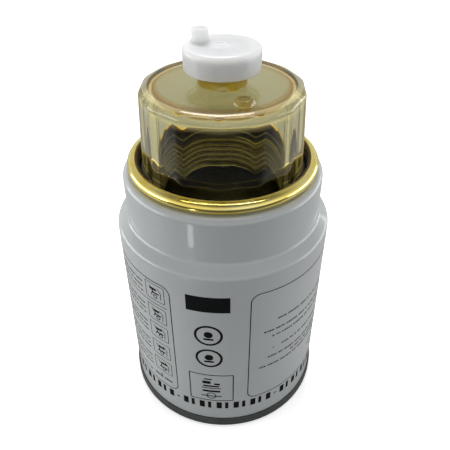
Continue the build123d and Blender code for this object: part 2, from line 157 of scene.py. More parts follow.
# The room is pale low down in front, with a darker middle, grey behind, and dark overhead. Its tones
# go by each direction's height, and by how far it lies to the front, the back or the side.
world = bpy.data.worlds.new("studio")
scene.world = world
world.use_nodes = True
backdrop = next(node for node in world.node_tree.nodes if node.type == "BACKGROUND")
add = node_maker(world.node_tree, backdrop)
direction = add("ShaderNodeTexCoord").node.outputs["Generated"]
way = add("ShaderNodeSeparateXYZ", {"Vector": direction}).node.outputs
front_greys = greys((0.0, 0.95), (0.28, 0.93), (0.5, 0.7), (0.68, 0.34), (0.85, 0.17), (1.0, 0.15))
rear_greys = greys((0.0, 0.75), (0.28, 0.65), (0.5, 0.55), (0.7, 0.5), (0.87, 0.18), (1.0, 0.15))
front_tone = tint(add, way["Z"], front_greys, None)
rear_tone = tint(add, way["Z"], rear_greys, None)
aside = add("ShaderNodeMath", {0: way["X"]}, operation="ABSOLUTE")
ahead = add("ShaderNodeMapRange", {"Value": aside, "From Min": 0.05, "From Max": 0.35, "To Min": 0.8})
front_tone = add("ShaderNodeVectorMath", {0: front_tone, "Scale": ahead}, operation="SCALE")
backwards = add("ShaderNodeMapRange", {"Value": way["Y"], "From Min": -0.35, "From Max": 0.45})
between(add, backwards, front_tone, rear_tone, "Color")

# The lamps stand where a studio's soft boxes would: high behind, at both sides, and a strip overhead in
# front. A small window far behind and a low strip in front are there for what the filter mirrors.


def softbox(name, where, aim, size, power):
    """Hang a rectangular area light, of a given width and height, that faces a point.

    It lights and is mirrored, but isn't seen through the clear bowl.
    """
    data = bpy.data.lights.new(name, "AREA")
    data.shape = "RECTANGLE"
    data.size, data.size_y = size
    data.energy = power
    lamp = bpy.data.objects.new(name, data)
    lamp.location = where
    lamp.rotation_euler = (Vector(aim) - Vector(where)).to_track_quat("-Z", "Y").to_euler()
    lamp.visible_transmission = False
    scene.collection.objects.link(lamp)


softbox("rear_softbox", (-0.05, 0.6, 1.15), (0, 0, 0.12), (0.5, 0.5), 8.0)
softbox("left_softbox", (-0.8, 0.0, 0.05), (0, 0, 0.05), (0.9, 0.4), 4.4)
softbox("front_strip", (0, -0.10, 1.0), (0, 0, 0.1), (0.9, 0.10), 1.5)
softbox("right_softbox", (0.8, 0.18, 0.06), (0, 0, 0.05), (0.9, 0.4), 3.2)
softbox("rear_window", (0.0, 1.3, 0.84), (0, 0, 0.14), (0.2, 0.14), 0.12)
softbox("low_strip", (-0.11, -0.17, 0.016), (0, 0, 0.13), (0.02, 0.03), 0.01)

# The can is one deep-drawn steel shell with a shoulder, a narrower neck and a lip rolled inwards.
# It carries a light grey gloss enamel, with a faint orange peel and a few specks of dust.
mm = 0.001
around = 256


def spaced(count, shift=0.0):
    """Give evenly spaced angles round a circle, turned on by a share of their step."""
    return (np.arange(count) + shift) * 2 * pi / count


circle = spaced(around)


def rounded(corners, steps=7, support=0.25):
    """Round a closed outline of (x, y, radius) corners with arcs, in millimetres.

    Each arc is tangent to both sides of its corner. A support point past each end of an arc keeps the
    flat stretch beside it flat when the surface is shaded smooth.
    """
    outline = []
    for index, (x, y, radius) in enumerate(corners):
        here = np.array((x, y))
        before = np.array(corners[index - 1][:2]) - here
        after = np.array(corners[(index + 1) % len(corners)][:2]) - here
        room_before, room_after = np.linalg.norm(before), np.linalg.norm(after)
        before, after = before / room_before, after / room_after
        half = np.arccos(np.clip(before @ after, -1, 1)) / 2
        if radius <= 0:
            outline.append(here)
            continue
        reach = min(radius / tan(half), 0.49 * room_before, 0.49 * room_after)
        radius = reach * tan(half)
        centre = here + (before + after) / np.linalg.norm(before + after) * radius / sin(half)
        first = here + before * reach - centre
        last = here + after * reach - centre
        sweep = np.linspace(0, 1, steps)[:, None]
        span = np.arccos(np.clip(first @ last / radius**2, -1, 1))
        curve = (np.sin((1 - sweep) * span) * first + np.sin(sweep * span) * last) / sin(span)
        if room_before - reach > 3 * support:
            outline.append(here + before * (reach + support))
        outline.extend(centre + curve)
        if room_after - reach > 3 * support:
            outline.append(here + after * (reach + support))
    return np.array(outline)


def turn(outline, angles=circle):
    """Spin an outline of (r, z) points round the axis into a grid of points."""
    r, z = outline[:, 0, None], outline[:, 1, None]
    return np.stack([r * np.cos(angles), r * np.sin(angles), z + 0 * angles], -1)


def grid_faces(rows, columns, close_rows=True, close_columns=True):
    """Number the faces of a grid whose rows and columns may close round on themselves.

    With rows that run counter-clockwise in a section, r to the right and z up, and columns that run
    counter-clockwise round the axis, the faces point outwards.
    """
    row = np.arange(rows if close_rows else rows - 1)
    column = np.arange(columns if close_columns else columns - 1)
    low, left = np.meshgrid(row, column, indexing="ij")
    high, right = (low + 1) % rows, (left + 1) % columns
    corners = (low * columns + left, low * columns + right, high * columns + right, high * columns + left)
    return np.stack(corners, -1).reshape(-1, 4)


def mesh_object(name, points, faces, material=None):
    """Make an object from points in millimetres, with doubled points merged."""
    mesh = bpy.data.meshes.new(name)
    mesh.from_pydata(np.reshape(points, (-1, 3)) * mm, [], [list(face) for face in faces])
    work = bmesh.new()
    work.from_mesh(mesh)
    bmesh.ops.remove_doubles(work, verts=work.verts, dist=1e-7)
    bmesh.ops.dissolve_degenerate(work, edges=work.edges, dist=1e-7)
    work.to_mesh(mesh)
    work.free()
    if material:
        mesh.materials.append(material)
    piece = bpy.data.objects.new(name, mesh)
    scene.collection.objects.link(piece)
    return piece


def settle(piece, body, slot, *replaced, sharp=40):
    """Shade a piece smooth up to an angle, give it its body, and hide the nodes it stands for. The finish
    is not used.
    """
    piece.data.polygons.foreach_set("use_smooth", np.ones(len(piece.data.polygons), bool))
    piece.data.set_sharp_from_angle(angle=radians(sharp))
    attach(piece, body)
    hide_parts(*replaced)


def spun(name, outline, material):
    """Make a closed ring from its section, spun round the axis."""
    return mesh_object(name, turn(outline), grid_faces(len(outline), around), material)


def reach_of(node):
    """Give a CAD node's half width, lowest and highest level, in millimetres."""
    low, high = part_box(node)
    return high[0] / mm, low[2] / mm, high[2] / mm


def relief(add, height, strength, distance):
    """Turn a grey pattern into fine bumps of about the given height in metres."""
    add("ShaderNodeBump", {"Height": height, "Strength": strength, "Distance": distance}, "Normal")


can_radius, can_foot, can_top = reach_of("can")
can_wall = 0.8
body_length, shoulder_rise, shoulder_width = 111.6, 4.2, 5.5
lip_width, lip_return = 6.25, 6.5
shoulder_foot = can_foot + body_length
shoulder_top = shoulder_foot + shoulder_rise
neck_radius = can_radius - shoulder_width
return_radius = neck_radius - lip_width
return_foot = can_top - lip_return
inner_neck, inner_can = neck_radius - can_wall, can_radius - can_wall
can_section = rounded(
    [
        (can_radius, can_foot, 0.2),
        (can_radius, shoulder_foot, 3.0),
        (neck_radius, shoulder_top, 3.0),
        (neck_radius, can_top, 3.0),
        (return_radius, can_top, 1.0),
        (return_radius, return_foot, 0.1),
        (return_radius + can_wall, return_foot, 0.1),
        (return_radius + can_wall, can_top - can_wall, 0.2),
        (inner_neck, can_top - can_wall, 2.2),
        (inner_neck, shoulder_top - 0.4, 3.8),
        (inner_can, shoulder_foot - 0.4, 2.2),
        (inner_can, can_foot, 0.2),
    ],
    steps=12,
)
enamel, add = start_material("light_grey_enamel", Roughness=0.36, Coat_Weight=0.6, Coat_Roughness=0.06)
place = object_place(add)
enamel_tones = ((0.3, (0.44, 0.468, 0.468)), (0.7, (0.465, 0.493, 0.493)))
paint = tint(add, noise(add, place, 28.0), enamel_tones, None)
dust = add("ShaderNodeTexVoronoi", {"Vector": place, "Scale": 110.0})
dust_size = noise(add, place, 45.0, 1.0)
dust_edge = add("ShaderNodeMath", {0: dust_size, 1: 0.55, 2: -0.31}, operation="MULTIPLY_ADD")
speck = add("ShaderNodeMath", {0: dust, 1: dust_edge}, operation="LESS_THAN")
between(add, speck, paint, (0.12, 0.13, 0.13, 1), "Base Color")
relief(add, noise(add, place, 420.0, 2.0), 0.06, 0.0004)
settle(spun("can_shell", can_section, enamel), "can", "can_paint", "can")

# The print is screened onto the can in dark ink: two ruled panels, a block, plain rings and boxes, and
# rows of bars. Each mark is a thin closed slab of ink that follows the can's wall.
ink_low, ink_high = can_radius - 0.02, can_radius + 0.03
ink_step = 1.3
mitre_limit = 0.6
ink, add = start_material("dark_ink", Roughness=0.75, Specular_IOR_Level=0.08)
grain = noise(add, object_place(add), 900.0, 4.0)
tint(add, grain, ((0.3, (0.003, 0.0035, 0.004)), (0.8, (0.010, 0.011, 0.012))))
ink_slabs = []


def at(degrees):
    """Give the length round the can, in millimetres, to an angle counted from the front to the right."""
    return can_radius * radians(degrees)


def mark(path, width, closed=False):
    """Ink a line of a given width along a path of (along, z) points on the unrolled can.

    The path is divided into steps short enough to follow the wall. Each point is moved to both sides,
    square to the path, and both edges are set inside and outside the wall to make a closed slab.
    """
    path = np.array(path, float)
    ends = np.vstack([path[1:], path[:1]]) if closed else path[1:]
    starts = path if closed else path[:-1]
    parts = []
    for first, last in zip(starts, ends):
        steps = 1 + int(np.hypot(*(last - first)) // ink_step)
        share = np.linspace(0, 1, steps, endpoint=False)[:, None]
        parts.append(first + (last - first) * share)
    line = np.vstack(parts if closed else parts + [path[-1:]])
    if closed:
        ahead = np.roll(line, -1, 0) - line
        behind = line - np.roll(line, 1, 0)
    else:
        ahead = np.vstack([line[1:], 2 * line[-1:] - line[-2:-1]]) - line
        behind = np.vstack([ahead[:1], ahead[:-1]])
    ahead = ahead / np.linalg.norm(ahead, axis=1)[:, None]
    behind = behind / np.linalg.norm(behind, axis=1)[:, None]
    way = ahead + behind
    way = way / np.linalg.norm(way, axis=1)[:, None]
    aside = np.stack([-way[:, 1], way[:, 0]], -1) * width / 2
    aside = aside / np.maximum(np.sum(way * ahead, 1), mitre_limit)[:, None]
    edges = [line - aside, line + aside, line + aside, line - aside]
    radii = [ink_high, ink_high, ink_low, ink_low]
    points = [
        np.stack([r * np.sin(e[:, 0] / can_radius), -r * np.cos(e[:, 0] / can_radius), e[:, 1]], -1)
        for e, r in zip(edges, radii)
    ]
    count = len(line)
    faces = grid_faces(4, count, True, closed).tolist()
    if not closed:
        first_end = np.arange(4) * count
        faces += [first_end.tolist(), (first_end[::-1] + count - 1).tolist()]
    ink_slabs.append((np.vstack(points), np.array(faces)))


def bar(left, right, level, height):
    """Ink a filled bar between two angles, centred on a level."""
    mark([(at(left), level), (at(right), level)], height)


def frame_line(left, right, low, high, corners, width):
    """Ink a rounded rectangle's outline. The corner radii start at the lower left, counter-clockwise."""
    places = ((left, low), (right, low), (right, high), (left, high))
    outline = rounded([(at(a), z, r) for (a, z), r in zip(places, corners)], steps=6, support=9)
    mark(outline, width, closed=True)


def arc(x, y, radius, angles):
    """Give the points at some angles round a middle."""
    return np.stack([x + radius * np.cos(angles), y + radius * np.sin(angles)], -1)


def ring_line(angle, level, radius, width):
    """Ink a round ring."""
    mark(arc(at(angle), level, radius, spaced(48)), width, closed=True)


def words(start, end, level, height, first_step):
    """Ink a line of small plain bars from one angle to another, in groups as words are.

    The lengths of the bars and of the groups follow sines of a step that grows along the line.
    """
    angle, step = start, first_step
    way = 1 if end > start else -1
    while way * (end - angle) > 1.0:
        for _ in range(int(5.5 + 3.4 * sin(2.3 * step))):
            length = 0.75 + 0.3 * sin(4.7 * step)
            bar(min(angle, angle + way * length), max(angle, angle + way * length), level, height)
            angle += way * (length + 0.32)
            step += 1
        angle += way * 0.9
        step += 1


def printed(name):
    """Join the marks inked since the last call into one piece on the can."""
    firsts = np.cumsum([0] + [len(points) for points, _ in ink_slabs[:-1]])
    faces = [face for first, (_, slab) in zip(firsts, ink_slabs) for face in (slab + first).tolist()]
    piece = mesh_object(name, np.vstack([points for points, _ in ink_slabs]), faces, ink)
    settle(piece, "can", "can_paint", sharp=30)
    ink_slabs.clear()


# In front stand the block, two rings and a square box of short bars.
bar(-18.8, 3.5, 97.9, 9.8)
ring_middle = -7.8
for ring_level, ring_radius in ((76.7, 6.5), (59.7, 6.35)):
    ring_line(ring_middle, ring_level, ring_radius, 1.25)
    ring_line(ring_middle, ring_level + 0.6, 1.1, 2.2)
    bar(ring_middle - 2.6, ring_middle + 2.6, ring_level - 2.6, 1.3)
frame_line(-19.4, 5.3, 24.0, 46.0, (0.2, 0.2, 0.2, 0.2), 0.55)
ring_line(-7.1, 28.2, 2.4, 0.5)
for left, right, level, height in (
    (-13.0, -1.2, 27.9, 0.7),
    (-12.2, -2.0, 32.2, 1.5),
    (-12.6, -1.6, 34.8, 0.6),
    (-11.6, -2.6, 36.6, 1.2),
    (-12.0, -7.4, 39.6, 2.2),
    (-5.4, -2.2, 38.6, 1.4),
    (-11.0, -6.6, 42.4, 0.9),
):
    bar(left, right, level, height)
printed("front_marks")

# The left panel has two rules, and five boxes of plain shapes with rows of word bars beside them.
panel_low, panel_high, panel_corners = 24.3, 102.8, (4.5, 4.5, 5.0, 5.0)
box_reaches = ((90.4, 101.0), (75.6, 85.9), (62.2, 72.9), (48.4, 58.9), (35.0, 45.3))
frame_line(-152.0, -27.7, panel_low, panel_high, panel_corners, 0.5)
mark([(at(-150), 88.0), (at(-29.9), 88.0)], 0.4)
mark([(at(-150), 33.0), (at(-60), 33.0)], 0.4)
for box, (low, high) in enumerate(box_reaches):
    frame_line(-43.5, -31.1, low, high, (1.2, 0.2, 1.2, 0.2), 0.35)
    middle = (low + high) / 2
    bar(-40.6 + 0.5 * box, -36.0 + 0.4 * box, middle + 1.9, 1.5)
    bar(-39.2, -34.4, middle - 0.3 - 0.3 * box, 0.9)
    ring_line(-37.0 + 0.3 * (box % 3), middle - 2.6, 1.1, 0.5)
    mark([(at(-40.8), middle + 3.2), (at(-38.4), middle + 0.4), (at(-39.8), middle - 2.4)], 0.55)
    mark([(at(-35.6), middle + 3.4), (at(-33.2), middle + 1.0), (at(-33.6), middle - 3.4)], 0.4)
    for line in range(3):
        ragged = -104 - 18 * sin(1.7 * (3 * box + line))
        words(-46.5, ragged, high - 3.2 - 3.35 * line, 1.0, 3 * box + line)
words(-31.6, -46.0, 29.5, 1.5, 4)
words(-48.0, -96.0, 28.6, 1.1, 2)
printed("left_panel_marks")

# The right panel has nine rows of word bars, set in from both sides.
frame_line(13.8, 138.0, panel_low, panel_high, panel_corners, 0.5)
for start, level, end in (
    (29.5, 82.0, 121),
    (21.7, 75.0, 130),
    (26.5, 70.5, 126),
    (33.3, 61.5, 119),
    (24.9, 54.8, 127),
    (40.9, 51.5, 112),
    (19.8, 48.0, 131),
    (60.0, 38.5, 92),
    (66.0, 33.0, 88),
):
    words(start, end, level, 1.05, level)
printed("right_panel_marks")

# A band of upright bars runs round the foot, with a short dash in every twelfth place.
band_places, band_level = 72, 19.6
for place_in_band in range(band_places):
    start = -180 + place_in_band * 360 / band_places
    if place_in_band % 12 == 6:
        bar(start + 1.2, start + 3.0, band_level, 0.9)
    else:
        bar_width = 2.5 + 0.6 * sin(3.1 * place_in_band)
        bar(start + 0.7, start + 0.7 + bar_width, band_level, 5.6)
printed("foot_band_marks")

# The seaming lid is thin sheet folded round the can's foot, with the gasket's groove pressed into it.
# It is coated satin dark grey, and a thin ring of black rubber runs along its top edge.
seam_radius, seam_foot, seam_top = reach_of("seaming_lid")
lid_wall, sheet_gap = 0.9, 0.05
groove_width, groove_roof, flange_width = 6.5, 4.5, 10.0
groove_outer = can_radius - can_wall - sheet_gap - lid_wall
groove_inner = groove_outer - groove_width
flange_inner = groove_inner - lid_wall - flange_width
lid_section = rounded(
    [
        (seam_radius, seam_top, 0.35),
        (seam_radius - lid_wall, seam_top, 0.2),
        (seam_radius - lid_wall, seam_foot + lid_wall, 0.05),
        (groove_outer + lid_wall, seam_foot + lid_wall, 0.05),
        (groove_outer + lid_wall, groove_roof + lid_wall, 0.7),
        (groove_inner - lid_wall, groove_roof + lid_wall, 0.7),
        (groove_inner - lid_wall, seam_foot + lid_wall, 0.2),
        (flange_inner, seam_foot + lid_wall, 0.2),
        (flange_inner, seam_foot, 0.2),
        (groove_inner, seam_foot, 0.7),
        (groove_inner, groove_roof, 0.2),
        (groove_outer, groove_roof, 0.2),
        (groove_outer, seam_foot, 0.8),
        (seam_radius, seam_foot, 0.8),
    ]
)
seam_coat, add = start_material("dark_seam_coat", Roughness=0.42)
scuff = noise(add, object_place(add), 160.0, 6.0)
tint(add, scuff, ((0.35, (0.036, 0.041, 0.042)), (0.75, (0.058, 0.063, 0.065))))
relief(add, scuff, 0.1, 0.0003)
settle(spun("seam_lid", lid_section, seam_coat), "can", "seam_coat", "seaming_lid")

rubber, add = start_material("black_nitrile", Roughness=0.55)
bloom = noise(add, object_place(add), 300.0, 5.0)
tint(add, bloom, ((0.3, (0.010, 0.010, 0.010)), (0.8, (0.026, 0.025, 0.024))))
relief(add, bloom, 0.15, 0.0002)
# A thin black ring lies along the lid's top edge, against the can.
edge_ring_depth, edge_ring_rise = 0.8, 0.65
edge_ring_section = rounded(
    [
        (can_radius - 0.05, seam_top - edge_ring_depth, 0),
        (seam_radius - lid_wall + 0.02, seam_top - edge_ring_depth, 0),
        (seam_radius - 0.35, seam_top - 0.12, 0.1),
        (can_radius - 0.05, seam_top + edge_ring_rise, 0.2),
    ],
    steps=4,
)
settle(spun("seam_edge_ring", edge_ring_section, rubber), "can", "seal_rubber")

# The head gasket is a flat-sided rubber ring that stands proud of the seam and carries the filter.
# The other seals are O-rings of the same black nitrile: a circle carried round the axis.
gasket_outer, _, gasket_top = reach_of("head_gasket")
gasket_width = 6.0
gasket_inner = gasket_outer - gasket_width
gasket_corners = [(gasket_outer, 0, 0.9), (gasket_outer, gasket_top, 0.15)]
gasket_corners += [(gasket_inner, gasket_top, 0.15), (gasket_inner, 0, 0.9)]
settle(spun("gasket_ring", rounded(gasket_corners), rubber), "can", "seal_rubber", "head_gasket")


def seal_ring(name, node, body):
    """Make an O-ring as large as its node."""
    outer, low, high = reach_of(node)
    section = (high - low) / 2
    outline = arc(outer - section, low + section, section, spaced(28))
    settle(spun(name, outline, rubber), body, "seal_rubber", node)


seal_ring("bowl_seal", "bowl_gasket", "bowl_gasket")
seal_ring("drain_neck_seal", "neck_seal", "bowl")

# The threaded collar is stamped steel, threaded inside for the bowl, its top edge curled into a bead
# over the can's lip. Its zinc plate is passivated yellow, in a film with deeper and paler streaks.
# Shade and a dark reflection are painted in: the threads are dimmed, and the land and the bead's inner
# flank are darkened.
thread_pitch = 3.3
thread_depth = 0.95
thread_room = 0.3
neck_root = 36.62
collar_root = neck_root + thread_depth + thread_room
collar_bore = 37.35
collar_wall = 2.2
bead_radius = 2.95
bowl_foot_drop = 1.7
seal_room = 2.9
bead_outer, collar_foot, bead_top = reach_of("threaded_collar")
bead_level = bead_top - bead_radius
land_radius = bead_outer - 2 * bead_radius
sleeve_outer, collar_outer = collar_bore + collar_wall, land_radius + collar_wall
bowl_foot = bead_level - bowl_foot_drop
collar_step = bowl_foot - seal_room
step_foot = collar_step - collar_wall


def thread_rise(z, angles, low, high, pitch=thread_pitch, depth=thread_depth, runout=1.6):
    """Give a right-hand thread's height at each level and angle: a smooth ridge once a pitch.

    The ridge takes up most of the pitch at its foot and little at its crest, with a smooth step between.
    It fades in and out over the run-out at each end of the threaded stretch.
    """
    foot_share, crest_share = 0.72, 0.28
    turn_part = (z / pitch - angles / (2 * pi)) % 1.0
    wave = np.abs(turn_part - 0.5) * 2
    ridge = np.clip((foot_share - wave) / (foot_share - crest_share), 0, 1)
    ridge = ridge * ridge * (3 - 2 * ridge)
    ends = np.clip((z - low) / runout, 0, 1) * np.clip((high - z) / runout, 0, 1)
    return depth * ridge * ends


def threaded_bore(outline, drawn, bore):
    """Spin an outline, with the rows drawn at one radius moved to the bore's at each level and angle."""
    points = turn(outline)
    threads = np.isclose(outline[:, 0], drawn)
    points[threads, :, :2] *= (bore / drawn)[threads, :, None]
    return points


bead_turns = np.linspace(radians(-135), radians(165), 45)
thread_low, thread_high = collar_foot + 0.2, step_foot + 1.0
thread_levels = np.arange(collar_step - 0.4, collar_foot + 0.3, -thread_pitch / 18)
collar_outline = np.concatenate(
    [
        [(sleeve_outer - 0.25, collar_foot), (sleeve_outer, collar_foot + 0.25)],
        [(sleeve_outer, collar_foot + 0.6), (sleeve_outer, step_foot - 0.5)],
        [(sleeve_outer + 0.05, step_foot - 0.1), (sleeve_outer + 0.35, step_foot)],
        [(collar_outer - 0.5, step_foot), (collar_outer - 0.1, step_foot + 0.1)],
        [(collar_outer, step_foot + 0.5), (collar_outer, bead_level - 3.0)],
        arc(land_radius + bead_radius, bead_level, bead_radius, bead_turns),
        [(land_radius, bead_level - 0.3), (land_radius, collar_step + 0.3)],
        [(land_radius - 0.05, collar_step + 0.05), (land_radius - 0.3, collar_step)],
        [(collar_bore + 0.6, collar_step), (collar_bore + 0.4, collar_step - 0.1)],
        np.stack([np.full(len(thread_levels), collar_bore), thread_levels], -1),
        [(collar_bore + 0.25, collar_foot)],
    ]
)
half_pitch_on = circle + pi
collar_thread = thread_rise(collar_outline[:, 1, None], half_pitch_on, thread_low, thread_high)
collar_points = threaded_bore(collar_outline, collar_bore, collar_root - collar_thread)


def by_reach(add, base, *stops):
    """Colour a piece by the distance from the axis, with (millimetres beyond a base, colour) stops."""
    flat_place = object_place(add, (1, 1, 0))
    reach = add("ShaderNodeVectorMath", {0: flat_place}, operation="LENGTH").node.outputs["Value"]
    first, last = stops[0][0], stops[-1][0]
    span = {"Value": reach, "From Min": (base + first) * mm, "From Max": (base + last) * mm}
    places = [((beyond - first) / (last - first), colour) for beyond, colour in stops]
    return tint(add, add("ShaderNodeMapRange", span), places, None)


yellow_zinc, add = start_material("yellow_zinc_plate", Metallic=1.0)
film = noise(add, object_place(add), 45.0)
streak = noise(add, object_place(add, (1, 1, 5)), 90.0, 5.0)
film_depth = add("ShaderNodeMath", {0: film, 1: streak}, operation="MULTIPLY")
zinc_stops = ((0.12, (0.90, 0.66, 0.10)), (0.22, (0.93, 0.75, 0.19)), (0.36, (0.95, 0.83, 0.32)))
bright_zinc = tint(add, film_depth, (*zinc_stops, (0.5, (0.92, 0.84, 0.44))), None)
# Painted shade: dims the threads and darkens the land and the bead's inner flank.
painted_shade_tone = (0.06, 0.04, 0.015)
painted_shade = by_reach(
    add,
    land_radius,
    (-0.70, (0.62, 0.70, 1.0)),
    (-0.05, (0.05, 0.035, 0.012)),
    (0.35, painted_shade_tone),
    (1.40, painted_shade_tone),
    (2.15, (0.22, 0.17, 0.08)),
    (2.80, (1.0, 1.0, 1.0)),
)
between(add, 1.0, painted_shade, bright_zinc, "Base Color", "MULTIPLY")
add("ShaderNodeMapRange", {"Value": streak, "To Min": 0.08, "To Max": 0.2}, "Roughness")
relief(add, streak, 0.04, 0.0003)
collar_faces = grid_faces(len(collar_outline), around)
collar_piece = mesh_object("curled_collar", collar_points, collar_faces, yellow_zinc)
settle(collar_piece, "can", "yellow_zinc", "threaded_collar", sharp=50)

# The bowl is one clear amber moulding: fourteen flat sides that taper upwards, a rounded top edge,
# a threaded neck below, and the drain's neck, a stop lug and a small hex boss on its top.
sides = 14
side_step = 2 * pi / sides
first_corner = radians(-92.0)
foot_gap, side_taper = 1.0, 1.6
foot_apothem = (land_radius - foot_gap) * cos(pi / sides)
top_apothem = (land_radius - foot_gap - side_taper) * cos(pi / sides)
_, neck_end, drain_neck_top = reach_of("bowl")
bowl_height, plate_thickness = 39.0, 3.2
bowl_top = bowl_foot + bowl_height
inside_top = bowl_top - plate_thickness
inside_neck, inside_top_radius = 34.3, 33.0
edge_rounding, inside_rounding = 3.5, 3.0
drain_neck, drain_bore, drain_hole = 11.0, 6.6, 3.5
drain_seat = bowl_top + 2.5
corner_radius = 10.0

# The points round the axis are few along each flat side, and many near its corners.
near_corner = corner_radius * tan(side_step / 2) / foot_apothem * 1.05
flat_half = side_step / 2 - 1.2 * near_corner
flat_part = np.linspace(-flat_half, flat_half, 6)
corner_part = np.linspace(-1, 1, 12, endpoint=False) * near_corner
one_side = np.concatenate([flat_part, side_step / 2 + corner_part])
bowl_angles = (first_corner + side_step / 2 + np.arange(sides)[:, None] * side_step + one_side).ravel()


def side_radius(apothem, angles):
    """Give the distance from the axis to a fourteen-sided outline, its corners rounded.

    It is the flat side's distance over the cosine of the angle from its middle, and near a corner
    the circle that touches both sides.
    """
    from_corner = (angles - first_corner + side_step / 2) % side_step - side_step / 2
    from_middle = side_step / 2 - np.abs(from_corner)
    flat = apothem / np.cos(from_middle)
    centre = (apothem - corner_radius) / cos(side_step / 2)
    inside = np.maximum(corner_radius**2 - (centre * np.sin(from_corner)) ** 2, 0)
    curve = centre * np.cos(from_corner) + np.sqrt(inside)
    edge = corner_radius * tan(side_step / 2)
    limit = apothem * tan(side_step / 2) - edge
    return np.where(apothem * np.tan(from_middle) > limit, np.minimum(flat, curve), flat)


def bowl_rows(levels, radii):
    """Make rows of the flat-sided wall from each row's level and its radii round the axis."""
    z = np.array(levels)[:, None] + 0 * bowl_angles
    return np.stack([radii * np.cos(bowl_angles), radii * np.sin(bowl_angles), z], -1)


def round_rows(*pairs):
    """Make round rows from (r, z) pairs."""
    return turn(np.array(pairs, float), bowl_angles)


wall_top = bowl_top - edge_rounding
wall_slope = (foot_apothem - top_apothem) / (bowl_top - bowl_foot)
wall_levels = np.array([bowl_foot + 0.25, bowl_foot + 0.6, bowl_foot + 12, bowl_foot + 24, wall_top - 0.5])
wall_radii = side_radius(foot_apothem - wall_slope * (wall_levels - bowl_foot)[:, None], bowl_angles)
foot_radii = side_radius(np.array([[foot_apothem - 0.5], [foot_apothem - 0.25]]), bowl_angles)
edge_turns = np.linspace(0, pi / 2, 16)[:, None]
rim_radii = side_radius(top_apothem + wall_slope * edge_rounding, bowl_angles)
flat_radius = top_apothem - edge_rounding
edge_radii = flat_radius + (rim_radii - flat_radius) * np.cos(edge_turns)
edge_levels = wall_top + edge_rounding * np.sin(edge_turns[:, 0])
neck_low, neck_high = neck_end + 0.6, neck_end + 13.0
neck_levels = np.arange(neck_low + 0.1, neck_high + 0.2, thread_pitch / 18)
neck_radii = neck_root + thread_rise(neck_levels[:, None], bowl_angles, neck_low, neck_high)
neck_plain = 37.1
top_row, ceiling_row = 24.0, 20.0
inside_middle = inside_top_radius + 0.05 - inside_rounding
inside_turns = np.linspace(pi / 2, 0, 8)
inside_curve = arc(inside_middle, inside_top - inside_rounding, inside_rounding, inside_turns)
_, groove_low, groove_high = reach_of("neck_seal")
groove_low, groove_high, groove_floor = groove_low - 0.05, groove_high + 0.05, 9.5
bowl_points = np.concatenate(
    [
        round_rows((inside_neck + 0.3, neck_end), (neck_root - 0.52, neck_end)),
        round_rows((neck_root - 0.12, neck_end + 0.4)),
        bowl_rows(neck_levels, neck_radii),
        round_rows((neck_plain - 0.35, neck_high + 0.6), (neck_plain - 0.05, neck_high + 1.2)),
        round_rows((neck_plain, neck_high + 1.6), (neck_plain, bowl_foot - 0.3)),
        round_rows((neck_plain, bowl_foot), (neck_plain + 0.2, bowl_foot)),
        bowl_rows([bowl_foot, bowl_foot], foot_radii),
        bowl_rows(wall_levels, wall_radii),
        bowl_rows(edge_levels, edge_radii),
        round_rows((flat_radius - 0.4, bowl_top), (top_row, bowl_top)),
        round_rows((drain_neck + 1.0, bowl_top), (drain_neck + 0.3, bowl_top + 0.05)),
        round_rows((drain_neck + 0.05, bowl_top + 0.3), (drain_neck, bowl_top + 0.8)),
        round_rows((drain_neck, groove_low - 0.2), (drain_neck, groove_low)),
        round_rows((groove_floor + 0.1, groove_low), (groove_floor, groove_low + 0.1)),
        round_rows((groove_floor, groove_high - 0.1), (groove_floor + 0.1, groove_high)),
        round_rows((drain_neck, groove_high)),
        round_rows((drain_neck, drain_neck_top - 0.4), (drain_neck - 0.4, drain_neck_top)),
        round_rows((drain_bore + 0.3, drain_neck_top), (drain_bore, drain_neck_top - 0.3)),
        round_rows((drain_bore, drain_seat + 0.2), (drain_bore - 0.2, drain_seat)),
        round_rows((drain_hole + 0.2, drain_seat), (drain_hole, drain_seat - 0.2)),
        round_rows((drain_hole, inside_top + 0.3), (drain_hole + 0.3, inside_top)),
        round_rows((ceiling_row, inside_top)),
        turn(inside_curve, bowl_angles),
        round_rows((inside_neck - 0.35, bowl_foot + 8)),
        round_rows((inside_neck, bowl_foot), (inside_neck, neck_end + 0.3)),
    ]
)

# Light that enters clear plastic runs along inside its walls, and comes out faintly at the edges. A weak
# glow stands for it on the plate's rim, on the thread's crests, and where the walls reflect it wholly.
amber_index = 1.5
amber, add = start_material("clear_amber", IOR=amber_index, Transmission_Weight=1.0, Emission_Strength=1.0)
flow = noise(add, object_place(add), 35.0, 2.0)
relief(add, flow, 0.04, 0.0004)
height = add("ShaderNodeSeparateXYZ", {"Vector": object_place(add)}).node.outputs["Z"]


def above(level, blur=0.02):
    """Give 0 below a level and 1 above it, in millimetres, with a soft step that starts there."""
    span = {"Value": height, "From Min": level * mm, "From Max": (level + blur) * mm}
    return add("ShaderNodeMapRange", span)


def times(first, second):
    """Multiply two grey values."""
    return add("ShaderNodeMath", {0: first, 1: second}, operation="MULTIPLY")


def beyond_corner(*stops):
    """Colour the bowl by the distance out from the corner inside it, in millimetres."""
    return by_reach(add, inside_top_radius, *stops)


